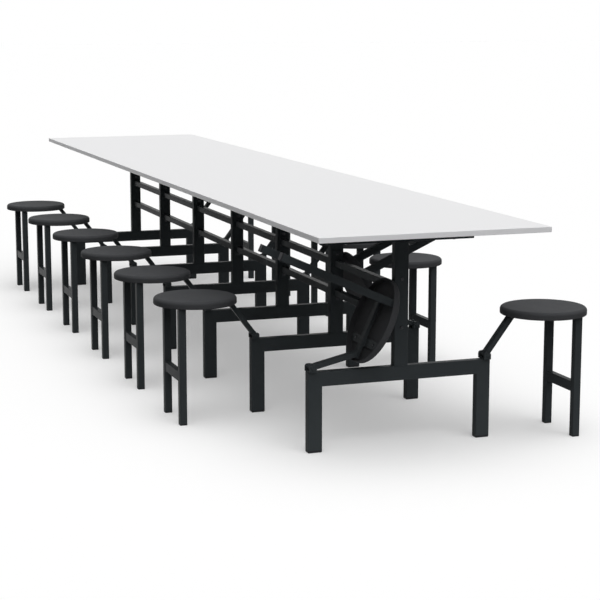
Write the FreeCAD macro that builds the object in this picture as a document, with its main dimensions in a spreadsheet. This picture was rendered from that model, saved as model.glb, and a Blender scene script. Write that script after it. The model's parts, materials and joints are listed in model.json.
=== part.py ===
import FreeCAD, Part
import os
import Sketcher

# A long communal table on seven trestles, with fourteen round stools that fold away under it.
# Millimetres, +Z up, +X along the table, origin on the floor under the middle of the table.
# Every piece is drawn once, on the +Y side of a trestle that stands at X = 0, and then repeated.

TRESTLES = 7
FOLDED = {("L", 7), ("R", 6)}

SIZES = {
    # table top
    "table_length": 4200, "table_width": 800, "table_height": 760, "board_thick": 18, "band_thick": 2,
    # heights: how far each lies under the table's top, but the beam under the seat's
    "seat_drop": 317, "beam_drop": 169, "upper_rail_drop": 225, "lower_rail_drop": 335,
    "upper_bolt_drop": 193, "lower_bolt_drop": 357,
    # trestles: rectangular steel tube
    "end_overhang": 300, "trestle_span": 660, "tube_deep": 30, "tube_wall": 2, "tube_round": 3,
    "leg_wide": 50, "post_wide": 50, "beam_tall": 50, "bearer_tall": 50, "bearer_length": 518,
    # plastic feet and bearer caps
    "foot_tall": 9, "foot_round": 5, "cap_thick": 3, "plug_reach": 14, "plug_gap": 0.3,
    # rails between the posts, their end plates and bolts
    "rail_size": 25, "rail_wall": 1.5, "rail_round": 2,
    "plate_wide": 40, "plate_thick": 5, "plate_margin": 15,
    "bolt_wide": 6, "bolt_head_wide": 12, "bolt_head_tall": 4, "bolt_head_round": 2.5,
    "nut_wide": 11.5, "nut_tall": 5, "bolt_tail": 2, "hole_gap": 0.3, "thread_gap": 0.05,
    # screws that hold the board to the bearers
    "screw_wide": 5, "screw_head_wide": 11, "screw_head_tall": 3, "screw_bite": 13, "screw_out": 194,
    # hinge: bracket on the beam, pin, bushes and the knuckle at the foot of the arm
    "hinge_inset": 14.3, "bracket_wide": 26, "base_thick": 3, "ear_thick": 6, "ear_gap": 37, "ear_rise": 10,
    "ear_round": 9, "pin_wide": 8, "pin_gap": 0.05,
    "pin_cap_wide": 14, "pin_cap_tall": 3, "pin_cap_round": 1.5,
    "bush_wide": 12, "bush_flange_wide": 16, "bush_flange_thick": 2, "bush_reach": 12, "bush_gap": 0.05,
    "knuckle_gap": 0.5, "hinge_lift": 2.5, "arm_angle": 53, "fold_gap": 1.4,
    # stool frame: square and flat tube
    "stool_tube": 26, "stool_wall": 1.5, "stool_round": 2, "arm_wide": 30, "arm_tall": 17,
    "leg_spread": 100, "leg_setback": 78,
    "tip_tall": 5, "tip_round": 1.5, "crossbar_tall": 35, "crossbar_deep": 23, "crossbar_height": 173,
    "bar_tall": 12, "spine_reach": 136,
    "strap_wide": 30, "strap_thick": 4, "strap_length": 210, "strap_setback": 74,
    # seat
    "seat_reach": 220.3, "seat_wide": 298, "seat_skin": 6, "rim_wall": 4, "edge_round": 12,
    "rim_round": 3, "boss_wide": 20, "boss_tall": 4, "seat_screw_wide": 5, "seat_screw_head_wide": 10,
    "seat_screw_head_tall": 3, "seat_screw_bite": 7, "seat_screw_spread": 75,
    # one overrun for every cut
    "overrun": 10,
}

doc = FreeCAD.newDocument("communal_table")
sheet = doc.addObject("Spreadsheet::Sheet", "Sizes")
for row, (alias, size) in enumerate(SIZES.items(), start=1):
    sheet.set(f"A{row}", alias)
    sheet.set(f"B{row}", str(size))
    sheet.setAlias(f"B{row}", alias)
doc.recompute()


def level(name):
    """The height of something that lies a named drop under the table's top."""
    return f"(Sizes.table_height - Sizes.{name}_drop)"


# Heights and lengths that follow from the sizes.
SEAT_TOP = level("seat")
BEAM_TOP = f"({SEAT_TOP} - Sizes.beam_drop)"
TRESTLE_PITCH = f"((Sizes.table_length - 2 * Sizes.end_overhang) / {TRESTLES - 1})"
BOARD_BASE = "(Sizes.table_height - Sizes.board_thick)"
BEARER_BASE = f"({BOARD_BASE} - Sizes.bearer_tall)"
BEAM_BASE = f"({BEAM_TOP} - Sizes.beam_tall)"
LEG_OUT = "(Sizes.trestle_span / 2)"
LEG_IN = f"({LEG_OUT} - Sizes.leg_wide)"
HINGE_OUT = f"({LEG_OUT} - Sizes.hinge_inset)"
SEAT_OUT = f"({HINGE_OUT} + Sizes.seat_reach)"
EAR_BASE = f"({BEAM_TOP} + Sizes.base_thick)"
HINGE_HEIGHT = f"({EAR_BASE} + Sizes.hinge_lift + Sizes.arm_tall / 2)"
EAR_TALL = f"({HINGE_HEIGHT} + Sizes.ear_rise - {EAR_BASE})"
BRACKET_LENGTH = "(Sizes.ear_gap + 2 * Sizes.ear_thick)"
KNUCKLE_LENGTH = "(Sizes.ear_gap - 2 * (Sizes.bush_flange_thick + Sizes.knuckle_gap))"
SKIN_BASE = f"({SEAT_TOP} - Sizes.seat_skin)"
STRAP_TOP = f"({SKIN_BASE} - Sizes.boss_tall)"
STRAP_BASE = f"({STRAP_TOP} - Sizes.strap_thick)"
BAR_BASE = f"({STRAP_BASE} - Sizes.bar_tall)"
HEAD_BAR_TALL = f"({STRAP_TOP} - {BAR_BASE})"
STOOL_LEG_OUT = f"({SEAT_OUT} + Sizes.leg_setback)"
RAIL_LENGTH = f"({TRESTLE_PITCH} - Sizes.tube_deep - 2 * Sizes.plate_thick)"
PLATE_BASE = f"({level('lower_bolt')} - Sizes.plate_margin)"
PLATE_TALL = f"({level('upper_bolt')} + Sizes.plate_margin - {PLATE_BASE})"
STRAP_OUT = f"({SEAT_OUT} - Sizes.strap_setback)"

SEAT_SCREW_SIDES = ("Sizes.seat_screw_spread", "-Sizes.seat_screw_spread")
SEAT_SCREW_ROWS = ((STRAP_OUT, STRAP_BASE), (STOOL_LEG_OUT, BAR_BASE))

X_AXIS = FreeCAD.Vector(1, 0, 0)
Y_AXIS = FreeCAD.Vector(0, 1, 0)
Z_AXIS = FreeCAD.Vector(0, 0, 1)
TOLERANCE_SHARE = 1e-6


def number(formula):
    """The value of a formula of sheet cells."""
    found = sheet.evalExpression(formula)
    return float(getattr(found, "Value", found))


def bind(feature, **formulas):
    """Tie properties of a feature to formulas."""
    for name, formula in formulas.items():
        feature.setExpression(name, formula)
    return feature


def place(feature, x="0", y="0", z="0", axis=None, angle="0"):
    """Tie a feature's place to formulas, and turn it about an axis through its own origin."""
    if axis is not None:
        feature.Placement = FreeCAD.Placement(FreeCAD.Vector(), FreeCAD.Rotation(axis, number(angle)))
        if angle.startswith("("):
            feature.setExpression("Placement.Rotation.Angle", angle)
    for name, formula in (("x", x), ("y", y), ("z", z)):
        feature.setExpression(f"Placement.Base.{name}", formula)
    return feature


def box(name, length, wide, tall):
    """A block with one corner at its own origin."""
    return bind(doc.addObject("Part::Box", name), Length=length, Width=wide, Height=tall)


def block(name, length, wide, tall, x="0", y="0", z="0"):
    """A block whose base has its middle at x, y, z."""
    return place(box(name, length, wide, tall), f"{x} - {length} / 2", f"{y} - {wide} / 2", z)


def rod(name, wide, length, x="0", y="0", z="0", axis=None, angle="0"):
    """A round bar of the given diameter, along Z unless it is turned."""
    bar = bind(doc.addObject("Part::Cylinder", name), Radius=f"{wide} / 2", Height=length)
    return place(bar, x, y, z, axis, angle)


def cross_rod(name, wide, length, x, y, z):
    """A round bar along X, starting at x."""
    return rod(name, wide, length, x, y, z, Y_AXIS, "90")


def group(name, pieces):
    """Separate solids kept together as one object, with a place of its own."""
    several = doc.addObject("Part::Compound", name)
    several.Links = pieces
    return several


def turned(name, pieces):
    """The same pieces on the other side of the table: half a turn about Z."""
    return place(group(name, pieces), axis=Z_AXIS, angle="180")


def cut(name, base, tool):
    """One solid with another taken away."""
    result = doc.addObject("Part::Cut", name)
    result.Base = base
    result.Tool = tool
    return result


def fuse(name, first, second):
    """Two overlapping solids as one piece, without the seam between them."""
    result = doc.addObject("Part::Fuse", name)
    result.Base = first
    result.Tool = second
    result.Refine = True
    return result


def plane_of(body, role):
    """One of the planes of a body's own origin."""
    return next(item for item in body.Origin.OriginFeatures if item.Role == role)


def sketch_on(body, role, name, lift="0"):
    """An empty sketch on one of the body's origin planes, lifted along the plane's normal."""
    sketch = body.newObject("Sketcher::SketchObject", name)
    sketch.AttachmentSupport = [(plane_of(body, role), "")]
    sketch.MapMode = "FlatFace"
    sketch.setExpression("AttachmentOffset.Base.z", lift)
    return sketch


def outline(sketch, corners):
    """A closed outline of straight lines, with every corner held by formulas."""
    points = [FreeCAD.Vector(number(across), number(up), 0) for across, up in corners]
    first = len(sketch.Geometry)
    count = len(points)
    for index in range(count):
        sketch.addGeometry(Part.LineSegment(points[index], points[(index + 1) % count]), False)
    for index in range(count):
        following = first + (index + 1) % count
        sketch.addConstraint(Sketcher.Constraint("Coincident", first + index, 2, following, 1))
    for index, (across, up) in enumerate(corners):
        point = points[index]
        for kind, formula, size in (("DistanceX", across, point.x), ("DistanceY", up, point.y)):
            held = sketch.addConstraint(Sketcher.Constraint(kind, first + index, 1, size))
            sketch.setExpression(f"Constraints[{held}]", formula)


def rectangle(sketch, wide, deep):
    """A rectangle about the sketch's origin."""
    right, back = f"({wide}) / 2", f"({deep}) / 2"
    left, front = f"-({wide}) / 2", f"-({deep}) / 2"
    outline(sketch, [(left, front), (right, front), (right, back), (left, back)])


def pad(body, sketch, length):
    """A sketch made solid along its normal."""
    feature = body.newObject("PartDesign::Pad", f"{sketch.Name}_pad")
    feature.Profile = sketch
    bind(feature, Length=length)
    doc.recompute()
    return feature


def round_edges(body, radius, wanted):
    """A fillet on those edges of the body's last feature that the test picks."""
    base = body.Tip
    names = [f"Edge{index}" for index, edge in enumerate(base.Shape.Edges, start=1) if wanted(edge)]
    feature = body.newObject("PartDesign::Fillet", f"{body.Name}_round")
    feature.Base = (base, names)
    bind(feature, Radius=radius)
    doc.recompute()
    return feature


def near(first, second):
    """True for two lengths that agree to a small share of the table's height."""
    return abs(first - second) < TOLERANCE_SHARE * number("Sizes.table_height")


def tube(name, wide, deep, wall, length, rounding):
    """A hollow rectangular tube along Z from the XY plane, with its outer corners rounded."""
    body = doc.addObject("PartDesign::Body", name)
    section = sketch_on(body, "XY_Plane", f"{name}_section")
    rectangle(section, wide, deep)
    rectangle(section, f"{wide} - 2 * {wall}", f"{deep} - 2 * {wall}")
    pad(body, section, length)
    half_wide, half_deep = number(wide) / 2, number(deep) / 2

    def outer_corner(edge):
        middle = edge.CenterOfMass
        return near(abs(middle.x), half_wide) and near(abs(middle.y), half_deep)

    round_edges(body, rounding, outer_corner)
    return body


def plug(name, wide, deep, wall, thick, rounding):
    """A plastic end piece under a tube: a plate with a rounded rim, and a plug up into the tube."""
    body = doc.addObject("PartDesign::Body", name)
    plate = sketch_on(body, "XY_Plane", f"{name}_plate")
    rectangle(plate, wide, deep)
    pad(body, plate, thick)
    round_edges(body, rounding, lambda edge: edge.CenterOfMass.z < number(thick) * (1 - TOLERANCE_SHARE))
    stem = sketch_on(body, "XY_Plane", f"{name}_stem", thick)
    rectangle(stem, f"{wide} - 2 * ({wall} + Sizes.plug_gap)", f"{deep} - 2 * ({wall} + Sizes.plug_gap)")
    pad(body, stem, "Sizes.plug_reach")
    return body


def domed_head(name, wide, tall, rounding):
    """A low round head on the XY plane with its upper rim rounded."""
    disc = bind(doc.addObject("Part::Cylinder", f"{name}_disc"), Radius=f"{wide} / 2", Height=tall)
    doc.recompute()
    rim = [index for index, edge in enumerate(disc.Shape.Edges, start=1)
           if near(edge.CenterOfMass.z, number(tall))]
    head = doc.addObject("Part::Fillet", name)
    head.Base = disc
    head.Edges = [(index, number(rounding), number(rounding)) for index in rim]
    return head


def trestle_pieces():
    """Two legs mitred to a beam, a post on the beam, a bearer on the post and two hinge brackets."""
    tilt = "(atan2(Sizes.beam_tall; Sizes.leg_wide))"
    reach = "Sizes.trestle_span"
    deep = "(Sizes.tube_deep + 2 * Sizes.overrun)"
    tools = []
    for name, drop in (("above_mitre", "0"), ("below_mitre", reach)):
        tool = box(name, deep, reach, reach)
        place(tool, f"-{deep} / 2", f"{LEG_IN} - Sizes.overrun * cos({tilt}) + {drop} * sin({tilt})",
              f"{BEAM_BASE} - Sizes.overrun * sin({tilt}) - {drop} * cos({tilt})", X_AXIS, tilt)
        tools.append(tool)
    above, below = tools

    leg_tube = tube("leg_tube", "Sizes.tube_deep", "Sizes.leg_wide", "Sizes.tube_wall",
                    f"({BEAM_TOP} - Sizes.foot_tall)", "Sizes.tube_round")
    place(leg_tube, y=f"{LEG_OUT} - Sizes.leg_wide / 2", z="Sizes.foot_tall")
    leg = cut("trestle_leg", leg_tube, above)

    beam_tube = tube("beam_tube", "Sizes.tube_deep", "Sizes.beam_tall", "Sizes.tube_wall",
                     "Sizes.trestle_span", "Sizes.tube_round")
    place(beam_tube, y=f"-{LEG_OUT}", z=f"{BEAM_BASE} + Sizes.beam_tall / 2", axis=X_AXIS, angle="-90")
    half_beam = cut("half_mitred_beam", beam_tube, below)
    beam = cut("trestle_beam", half_beam, turned("other_below_mitre", [below]))

    post_tube = tube("post_tube", "Sizes.tube_deep", "Sizes.post_wide", "Sizes.tube_wall",
                     f"({BEARER_BASE} - {BEAM_TOP})", "Sizes.tube_round")
    place(post_tube, z=BEAM_TOP)
    bolt_holes = [cross_rod(f"post_hole_{height}", "(Sizes.bolt_wide + 2 * Sizes.hole_gap)", deep,
                            f"-{deep} / 2", "0", level(f"{height}_bolt")) for height in ("upper", "lower")]
    post = cut("trestle_post", post_tube, group("post_holes", bolt_holes))

    bearer_tube = tube("bearer_tube", "Sizes.tube_deep", "Sizes.bearer_tall", "Sizes.tube_wall",
                       "Sizes.bearer_length", "Sizes.tube_round")
    place(bearer_tube, y="-Sizes.bearer_length / 2", z=f"{BEARER_BASE} + Sizes.bearer_tall / 2",
          axis=X_AXIS, angle="-90")
    screw_holes = [rod(f"bearer_hole_{side}", "(Sizes.screw_wide + 2 * Sizes.hole_gap)",
                       "(Sizes.bearer_tall + 2 * Sizes.overrun)", y=f"{sign} * Sizes.screw_out",
                       z=f"{BEARER_BASE} - Sizes.overrun") for side, sign in (("right", 1), ("left", -1))]
    bearer = cut("trestle_bearer", bearer_tube, group("bearer_holes", screw_holes))

    bracket = hinge_bracket()
    other_bracket = turned("other_bracket", bracket)
    return [leg, turned("other_leg", [leg]), beam, post, bearer] + bracket + [other_bracket]


def hinge_bracket():
    """A base plate on the end of the beam with two round-topped ears for the pin."""
    base = block("bracket_base", BRACKET_LENGTH, "Sizes.bracket_wide", "Sizes.base_thick",
                 y=HINGE_OUT, z=BEAM_TOP)
    ear = doc.addObject("PartDesign::Body", "bracket_ear")
    face = sketch_on(ear, "YZ_Plane", "ear_face")
    left, right = "-Sizes.bracket_wide / 2", "Sizes.bracket_wide / 2"
    outline(face, [(left, "0"), (right, "0"), (right, EAR_TALL), (left, EAR_TALL)])
    pad(ear, face, "Sizes.ear_thick")

    def top_corner(edge):
        middle = edge.CenterOfMass
        return near(abs(middle.y), number(right)) and near(middle.z, number(EAR_TALL))

    round_edges(ear, "Sizes.ear_round", top_corner)
    place(ear, x="Sizes.ear_gap / 2", y=HINGE_OUT, z=EAR_BASE)
    bore = cross_rod("ear_bore", "(Sizes.pin_wide + 2 * Sizes.pin_gap)",
                     "(Sizes.ear_thick + 2 * Sizes.overrun)", "Sizes.ear_gap / 2 - Sizes.overrun",
                     HINGE_OUT, HINGE_HEIGHT)
    near_ear = cut("near_ear", ear, bore)
    far_ear = place(group("far_ear", [near_ear]), x="-(Sizes.ear_gap + Sizes.ear_thick)")
    return [base, near_ear, far_ear]


def rail_pieces():
    """One rail of each height and one end plate, for the bay that starts at the trestle at X = 0."""
    rails = []
    for height in ("upper", "lower"):
        rail = tube(f"{height}_rail_tube", "Sizes.rail_size", "Sizes.rail_size", "Sizes.rail_wall",
                    RAIL_LENGTH, "Sizes.rail_round")
        rails.append(place(rail, x="Sizes.tube_deep / 2 + Sizes.plate_thick", z=level(f"{height}_rail"),
                           axis=Y_AXIS, angle="90"))
    plain = block("plain_end_plate", "Sizes.plate_thick", "Sizes.plate_wide", PLATE_TALL,
                  x="(Sizes.tube_deep + Sizes.plate_thick) / 2", z=PLATE_BASE)
    holes = [cross_rod(f"plate_hole_{height}", "(Sizes.bolt_wide + 2 * Sizes.hole_gap)",
                       "(Sizes.plate_thick + 2 * Sizes.overrun)", "Sizes.tube_deep / 2 - Sizes.overrun", "0",
                       level(f"{height}_bolt")) for height in ("upper", "lower")]
    plate = cut("end_plate", plain, group("plate_holes", holes))
    return rails, [plate, turned_in_bay("far_end_plate", plate)]


def turned_in_bay(name, piece):
    """The same piece at the far end of a bay: half a turn about Z, one pitch along."""
    return place(group(name, [piece]), x=TRESTLE_PITCH, axis=Z_AXIS, angle="180")


def bolt_pieces(name, plates):
    """Two bolts with nuts through a post and the end plates on it, with their heads on the +X side."""
    grip = f"(Sizes.tube_deep + {plates} * Sizes.plate_thick)"
    head_face = f"(Sizes.tube_deep / 2 + {plates - 1} * Sizes.plate_thick)"
    pieces = []
    for height in ("upper", "lower"):
        bolt_height = level(f"{height}_bolt")
        shank_length = f"({grip} + Sizes.nut_tall + Sizes.bolt_tail)"
        shank = cross_rod(f"{name}_{height}_shank", "Sizes.bolt_wide", shank_length,
                          f"{head_face} - {shank_length}", "0", bolt_height)
        head = domed_head(f"{name}_{height}_head", "Sizes.bolt_head_wide", "Sizes.bolt_head_tall",
                          "Sizes.bolt_head_round")
        place(head, head_face, "0", bolt_height, Y_AXIS, "90")
        pieces.append(fuse(f"{name}_{height}_bolt", shank, head))
        solid_nut = doc.addObject("Part::Prism", f"{name}_{height}_solid_nut")
        bind(solid_nut, Circumradius="Sizes.nut_wide / 2", Height="Sizes.nut_tall")
        place(solid_nut, f"{head_face} - {grip} - Sizes.nut_tall", "0", bolt_height, Y_AXIS, "90")
        thread = cross_rod(f"{name}_{height}_thread", "(Sizes.bolt_wide + 2 * Sizes.thread_gap)",
                           "(Sizes.nut_tall + 2 * Sizes.overrun)",
                           f"{head_face} - {grip} - Sizes.nut_tall - Sizes.overrun", "0", bolt_height)
        pieces.append(cut(f"{name}_{height}_nut", solid_nut, thread))
    return pieces


def top_screw():
    """A screw up through the bearer into the board, with its head under the bearer."""
    shank = rod("top_screw_shank", "Sizes.screw_wide", "(Sizes.bearer_tall + Sizes.screw_bite)",
                y="Sizes.screw_out", z=BEARER_BASE)
    head = rod("top_screw_head", "Sizes.screw_head_wide", "Sizes.screw_head_tall",
               y="Sizes.screw_out", z=f"{BEARER_BASE} - Sizes.screw_head_tall")
    return fuse("top_screw", shank, head)


def pin_pieces():
    """The hinge pin, held by the ears, and the cap on each end of it."""
    pin = cross_rod("hinge_pin", "Sizes.pin_wide", BRACKET_LENGTH, f"-{BRACKET_LENGTH} / 2",
                    HINGE_OUT, HINGE_HEIGHT)
    cap = domed_head("pin_cap", "Sizes.pin_cap_wide", "Sizes.pin_cap_tall", "Sizes.pin_cap_round")
    place(cap, f"{BRACKET_LENGTH} / 2", "0", HINGE_HEIGHT, Y_AXIS, "90")
    near_cap = place(group("near_pin_cap", [cap]), y=HINGE_OUT)
    far_cap = place(group("far_pin_cap", [cap]), y=HINGE_OUT, axis=Z_AXIS, angle="180")
    return pin, [near_cap, far_cap]


def stool_frame_pieces():
    """The welded stool: knuckle, arm, spine, strap and head bar under the seat, legs and crossbar."""
    tilt = "(Sizes.arm_angle - 90)"
    half_knuckle = "(Sizes.arm_tall / 2)"
    barrel = cross_rod("knuckle_barrel", "Sizes.arm_tall", KNUCKLE_LENGTH, f"-{KNUCKLE_LENGTH} / 2",
                       "0", "0")
    shoulder = block("knuckle_shoulder", KNUCKLE_LENGTH, "Sizes.arm_tall", half_knuckle)
    bore = cross_rod("knuckle_bore", "(Sizes.bush_wide + 2 * Sizes.bush_gap)",
                     f"({KNUCKLE_LENGTH} + 2 * Sizes.overrun)",
                     f"-{KNUCKLE_LENGTH} / 2 - Sizes.overrun", "0", "0")
    knuckle = cut("arm_knuckle", fuse("plain_knuckle", barrel, shoulder), bore)
    place(knuckle, y=HINGE_OUT, z=HINGE_HEIGHT, axis=X_AXIS, angle=tilt)

    arm_length = f"(({BAR_BASE} - {HINGE_HEIGHT}) / sin(Sizes.arm_angle) + Sizes.arm_tall)"
    arm_tube = tube("arm_tube", "Sizes.arm_wide", "Sizes.arm_tall", "Sizes.stool_wall", arm_length,
                    "Sizes.stool_round")
    place(arm_tube, y=f"{HINGE_OUT} + {half_knuckle} * cos(Sizes.arm_angle)",
          z=f"{HINGE_HEIGHT} + {half_knuckle} * sin(Sizes.arm_angle)", axis=X_AXIS, angle=tilt)
    above_arm = block("above_arm", "(Sizes.arm_wide + 2 * Sizes.overrun)", "Sizes.seat_wide", arm_length,
                      y=SEAT_OUT, z=BAR_BASE)
    arm = cut("stool_arm", arm_tube, above_arm)

    spine_start = f"({SEAT_OUT} - Sizes.spine_reach)"
    head_face = f"({STOOL_LEG_OUT} - Sizes.stool_tube / 2)"
    spine = tube("stool_spine", "Sizes.stool_tube", "Sizes.bar_tall", "Sizes.stool_wall",
                 f"({head_face} - {spine_start})", "Sizes.stool_round")
    place(spine, y=spine_start, z=f"{BAR_BASE} + Sizes.bar_tall / 2", axis=X_AXIS, angle="-90")
    head_length = "(2 * Sizes.leg_spread + Sizes.stool_tube)"
    head_tube = tube("head_bar_tube", HEAD_BAR_TALL, "Sizes.stool_tube", "Sizes.stool_wall", head_length,
                     "Sizes.stool_round")
    place(head_tube, x=f"-{head_length} / 2", y=STOOL_LEG_OUT, z=f"{BAR_BASE} + {HEAD_BAR_TALL} / 2",
          axis=Y_AXIS, angle="90")
    head_bar = drilled_for_seat("stool_head_bar", head_tube, STOOL_LEG_OUT, BAR_BASE)
    flat = block("flat_strap", "Sizes.strap_length", "Sizes.strap_wide", "Sizes.strap_thick",
                 y=STRAP_OUT, z=STRAP_BASE)
    strap = drilled_for_seat("stool_strap", flat, STRAP_OUT, STRAP_BASE)

    leg = tube("stool_leg", "Sizes.stool_tube", "Sizes.stool_tube", "Sizes.stool_wall",
               f"({BAR_BASE} - Sizes.tip_tall)", "Sizes.stool_round")
    place(leg, x="Sizes.leg_spread", y=STOOL_LEG_OUT, z="Sizes.tip_tall")
    other_leg = place(group("other_stool_leg", [leg]), x="-2 * Sizes.leg_spread")
    crossbar_length = "(2 * Sizes.leg_spread - Sizes.stool_tube)"
    crossbar = tube("stool_crossbar", "Sizes.crossbar_tall", "Sizes.crossbar_deep", "Sizes.stool_wall",
                    crossbar_length, "Sizes.stool_round")
    place(crossbar, x=f"-{crossbar_length} / 2", y=STOOL_LEG_OUT, z="Sizes.crossbar_height",
          axis=Y_AXIS, angle="90")
    return [knuckle, arm, spine, head_bar, strap, leg, other_leg, crossbar]


def drilled_for_seat(name, bar, out, base):
    """A bar under the seat with two holes for the seat's screws, from its base up."""
    holes = [rod(f"{name}_hole_{index}", "(Sizes.seat_screw_wide + 2 * Sizes.hole_gap)",
                 f"({STRAP_TOP} - {base} + 2 * Sizes.overrun)", x, out, f"{base} - Sizes.overrun")
             for index, x in enumerate(SEAT_SCREW_SIDES)]
    return cut(name, bar, group(f"{name}_holes", holes))


def stool_fittings():
    """Leg tips, hinge bushes and seat screws of one stool."""
    tip = plug("stool_tip", "Sizes.stool_tube", "Sizes.stool_tube", "Sizes.stool_wall", "Sizes.tip_tall",
               "Sizes.tip_round")
    place(tip, x="Sizes.leg_spread", y=STOOL_LEG_OUT)
    other_tip = place(group("other_stool_tip", [tip]), x="-2 * Sizes.leg_spread")

    barrel = cross_rod("bush_barrel", "Sizes.bush_wide", "Sizes.bush_reach",
                       f"{KNUCKLE_LENGTH} / 2 - Sizes.bush_reach", "0", "0")
    flange = cross_rod("bush_flange", "Sizes.bush_flange_wide", "Sizes.bush_flange_thick",
                       f"{KNUCKLE_LENGTH} / 2", "0", "0")
    bore = cross_rod("bush_bore", "(Sizes.pin_wide + 2 * Sizes.pin_gap)",
                     "(Sizes.bush_reach + Sizes.bush_flange_thick + 2 * Sizes.overrun)",
                     f"{KNUCKLE_LENGTH} / 2 - Sizes.bush_reach - Sizes.overrun", "0", "0")
    bush = cut("hinge_bush", fuse("plain_bush", barrel, flange), bore)
    near_bush = place(group("near_bush", [bush]), y=HINGE_OUT, z=HINGE_HEIGHT)
    far_bush = place(group("far_bush", [bush]), y=HINGE_OUT, z=HINGE_HEIGHT,
                     axis=Z_AXIS, angle="180")

    screws = []
    for out, base in SEAT_SCREW_ROWS:
        for x in SEAT_SCREW_SIDES:
            name = f"seat_screw_{len(screws)}"
            shank = rod(f"{name}_shank", "Sizes.seat_screw_wide",
                        f"({STRAP_TOP} - {base} + Sizes.seat_screw_bite)", x, out, base)
            head = rod(f"{name}_head", "Sizes.seat_screw_head_wide", "Sizes.seat_screw_head_tall",
                       x, out, f"{base} - Sizes.seat_screw_head_tall")
            screws.append(fuse(name, shank, head))
    return [tip, other_tip, near_bush, far_bush] + screws


def seat_piece():
    """A moulded seat: a round skin with a deep rim, rounded over, and four screw bosses underneath."""
    body = doc.addObject("PartDesign::Body", "seat_shell")
    half = sketch_on(body, "XZ_Plane", "seat_half")
    rim, inner = "Sizes.seat_wide / 2", "(Sizes.seat_wide / 2 - Sizes.rim_wall)"
    outline(half, [("0", SKIN_BASE), (inner, SKIN_BASE), (inner, BAR_BASE), (rim, BAR_BASE),
                   (rim, SEAT_TOP), ("0", SEAT_TOP)])
    turn = body.newObject("PartDesign::Revolution", "seat_turn")
    turn.Profile = half
    turn.ReferenceAxis = (half, ["V_Axis"])
    turn.Angle = 360
    doc.recompute()

    def at_outer_rim(edge, height):
        bounds = edge.BoundBox
        level = near(bounds.ZLength, 0) and near(edge.CenterOfMass.z, number(height))
        return level and near(bounds.XLength, number("Sizes.seat_wide"))

    round_edges(body, "Sizes.edge_round", lambda edge: at_outer_rim(edge, SEAT_TOP))
    round_edges(body, "Sizes.rim_round", lambda edge: at_outer_rim(edge, BAR_BASE))
    place(body, y=SEAT_OUT)

    shell = body
    holes = []
    for out, base in SEAT_SCREW_ROWS:
        for x in SEAT_SCREW_SIDES:
            index = len(holes)
            boss = rod(f"boss_{index}", "Sizes.boss_wide", "(Sizes.boss_tall + Sizes.seat_skin / 2)",
                       x, out, STRAP_TOP)
            shell = fuse(f"shell_with_boss_{index}", shell, boss)
            hole = rod(f"boss_hole_{index}", "(Sizes.seat_screw_wide + 2 * Sizes.thread_gap)",
                       "(Sizes.seat_screw_bite + Sizes.overrun)", x, out, f"{STRAP_TOP} - Sizes.overrun")
            holes.append(hole)
    return cut("seat", shell, group("boss_holes", holes))


def fold_angle():
    """How far a stool turns about its hinge: until the seat's edge is a small gap away from the post."""
    edge_out = "(Sizes.seat_reach + Sizes.seat_wide / 2 - Sizes.edge_round)"
    edge_up = f"({SEAT_TOP} - Sizes.edge_round - {HINGE_HEIGHT})"
    folded_out = f"(Sizes.post_wide / 2 + Sizes.fold_gap + Sizes.edge_round - {HINGE_OUT})"
    reach = f"sqrt({edge_out} * {edge_out} + {edge_up} * {edge_up})"
    return f"(acos({folded_out} / {reach}) - atan2({edge_up}; {edge_out}))"


def folded(name, pieces):
    """The same pieces of a stool turned about its hinge, to stand under the table."""
    turn = fold_angle()
    y = f"{HINGE_OUT} - {HINGE_OUT} * cos{turn} + {HINGE_HEIGHT} * sin{turn}"
    z = f"{HINGE_HEIGHT} - {HINGE_OUT} * sin{turn} - {HINGE_HEIGHT} * cos{turn}"
    return place(group(name, pieces), y=y, z=z, axis=X_AXIS, angle=turn)


def along(number_of_trestle):
    """How far along X a trestle stands."""
    return f"{number_of_trestle - (TRESTLES + 1) / 2:g} * {TRESTLE_PITCH}"


nodes = []


def node(label, pieces, x="0", half_turn=False):
    """A named sub-part: the pieces, moved along the table and turned to its other side if asked."""
    several = group(f"node_{label}", pieces)
    several.Label = label
    place(several, x=x, axis=Z_AXIS, angle="180" if half_turn else "0")
    nodes.append(several)


def repeated(label, pieces, count=TRESTLES):
    """A named sub-part with one copy of the pieces at each trestle, or in each bay."""
    copies = [place(group(f"{label}_{index}", pieces), x=along(index)) for index in range(1, count + 1)]
    node(label, copies)


# Table top
band_inset = "2 * Sizes.band_thick"
plain_board = block("plain_board", f"(Sizes.table_length - {band_inset})",
                    f"(Sizes.table_width - {band_inset})", "Sizes.board_thick", z=BOARD_BASE)
screw = top_screw()
screw_pair = [screw, turned("other_top_screw", [screw])]
pilot = rod("pilot_hole", "(Sizes.screw_wide + 2 * Sizes.thread_gap)", "(Sizes.screw_bite + Sizes.overrun)",
            y="Sizes.screw_out", z=f"{BOARD_BASE} - Sizes.overrun")
pilot_pair = [pilot, turned("other_pilot_hole", [pilot])]
pilots = [place(group(f"pilots_{index}", pilot_pair), x=along(index)) for index in range(1, TRESTLES + 1)]
node("tabletop", [cut("drilled_board", plain_board, group("all_pilots", pilots))])
long_band = block("long_band", "Sizes.table_length", "Sizes.band_thick", "Sizes.board_thick",
                  y="(Sizes.table_width - Sizes.band_thick) / 2", z=BOARD_BASE)
short_band = block("short_band", "Sizes.band_thick", f"(Sizes.table_width - {band_inset})",
                   "Sizes.board_thick", x="(Sizes.table_length - Sizes.band_thick) / 2", z=BOARD_BASE)
bands = [long_band, short_band]
node("edge_bands", bands + [turned("other_bands", bands)])
repeated("top_screws", screw_pair)

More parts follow.
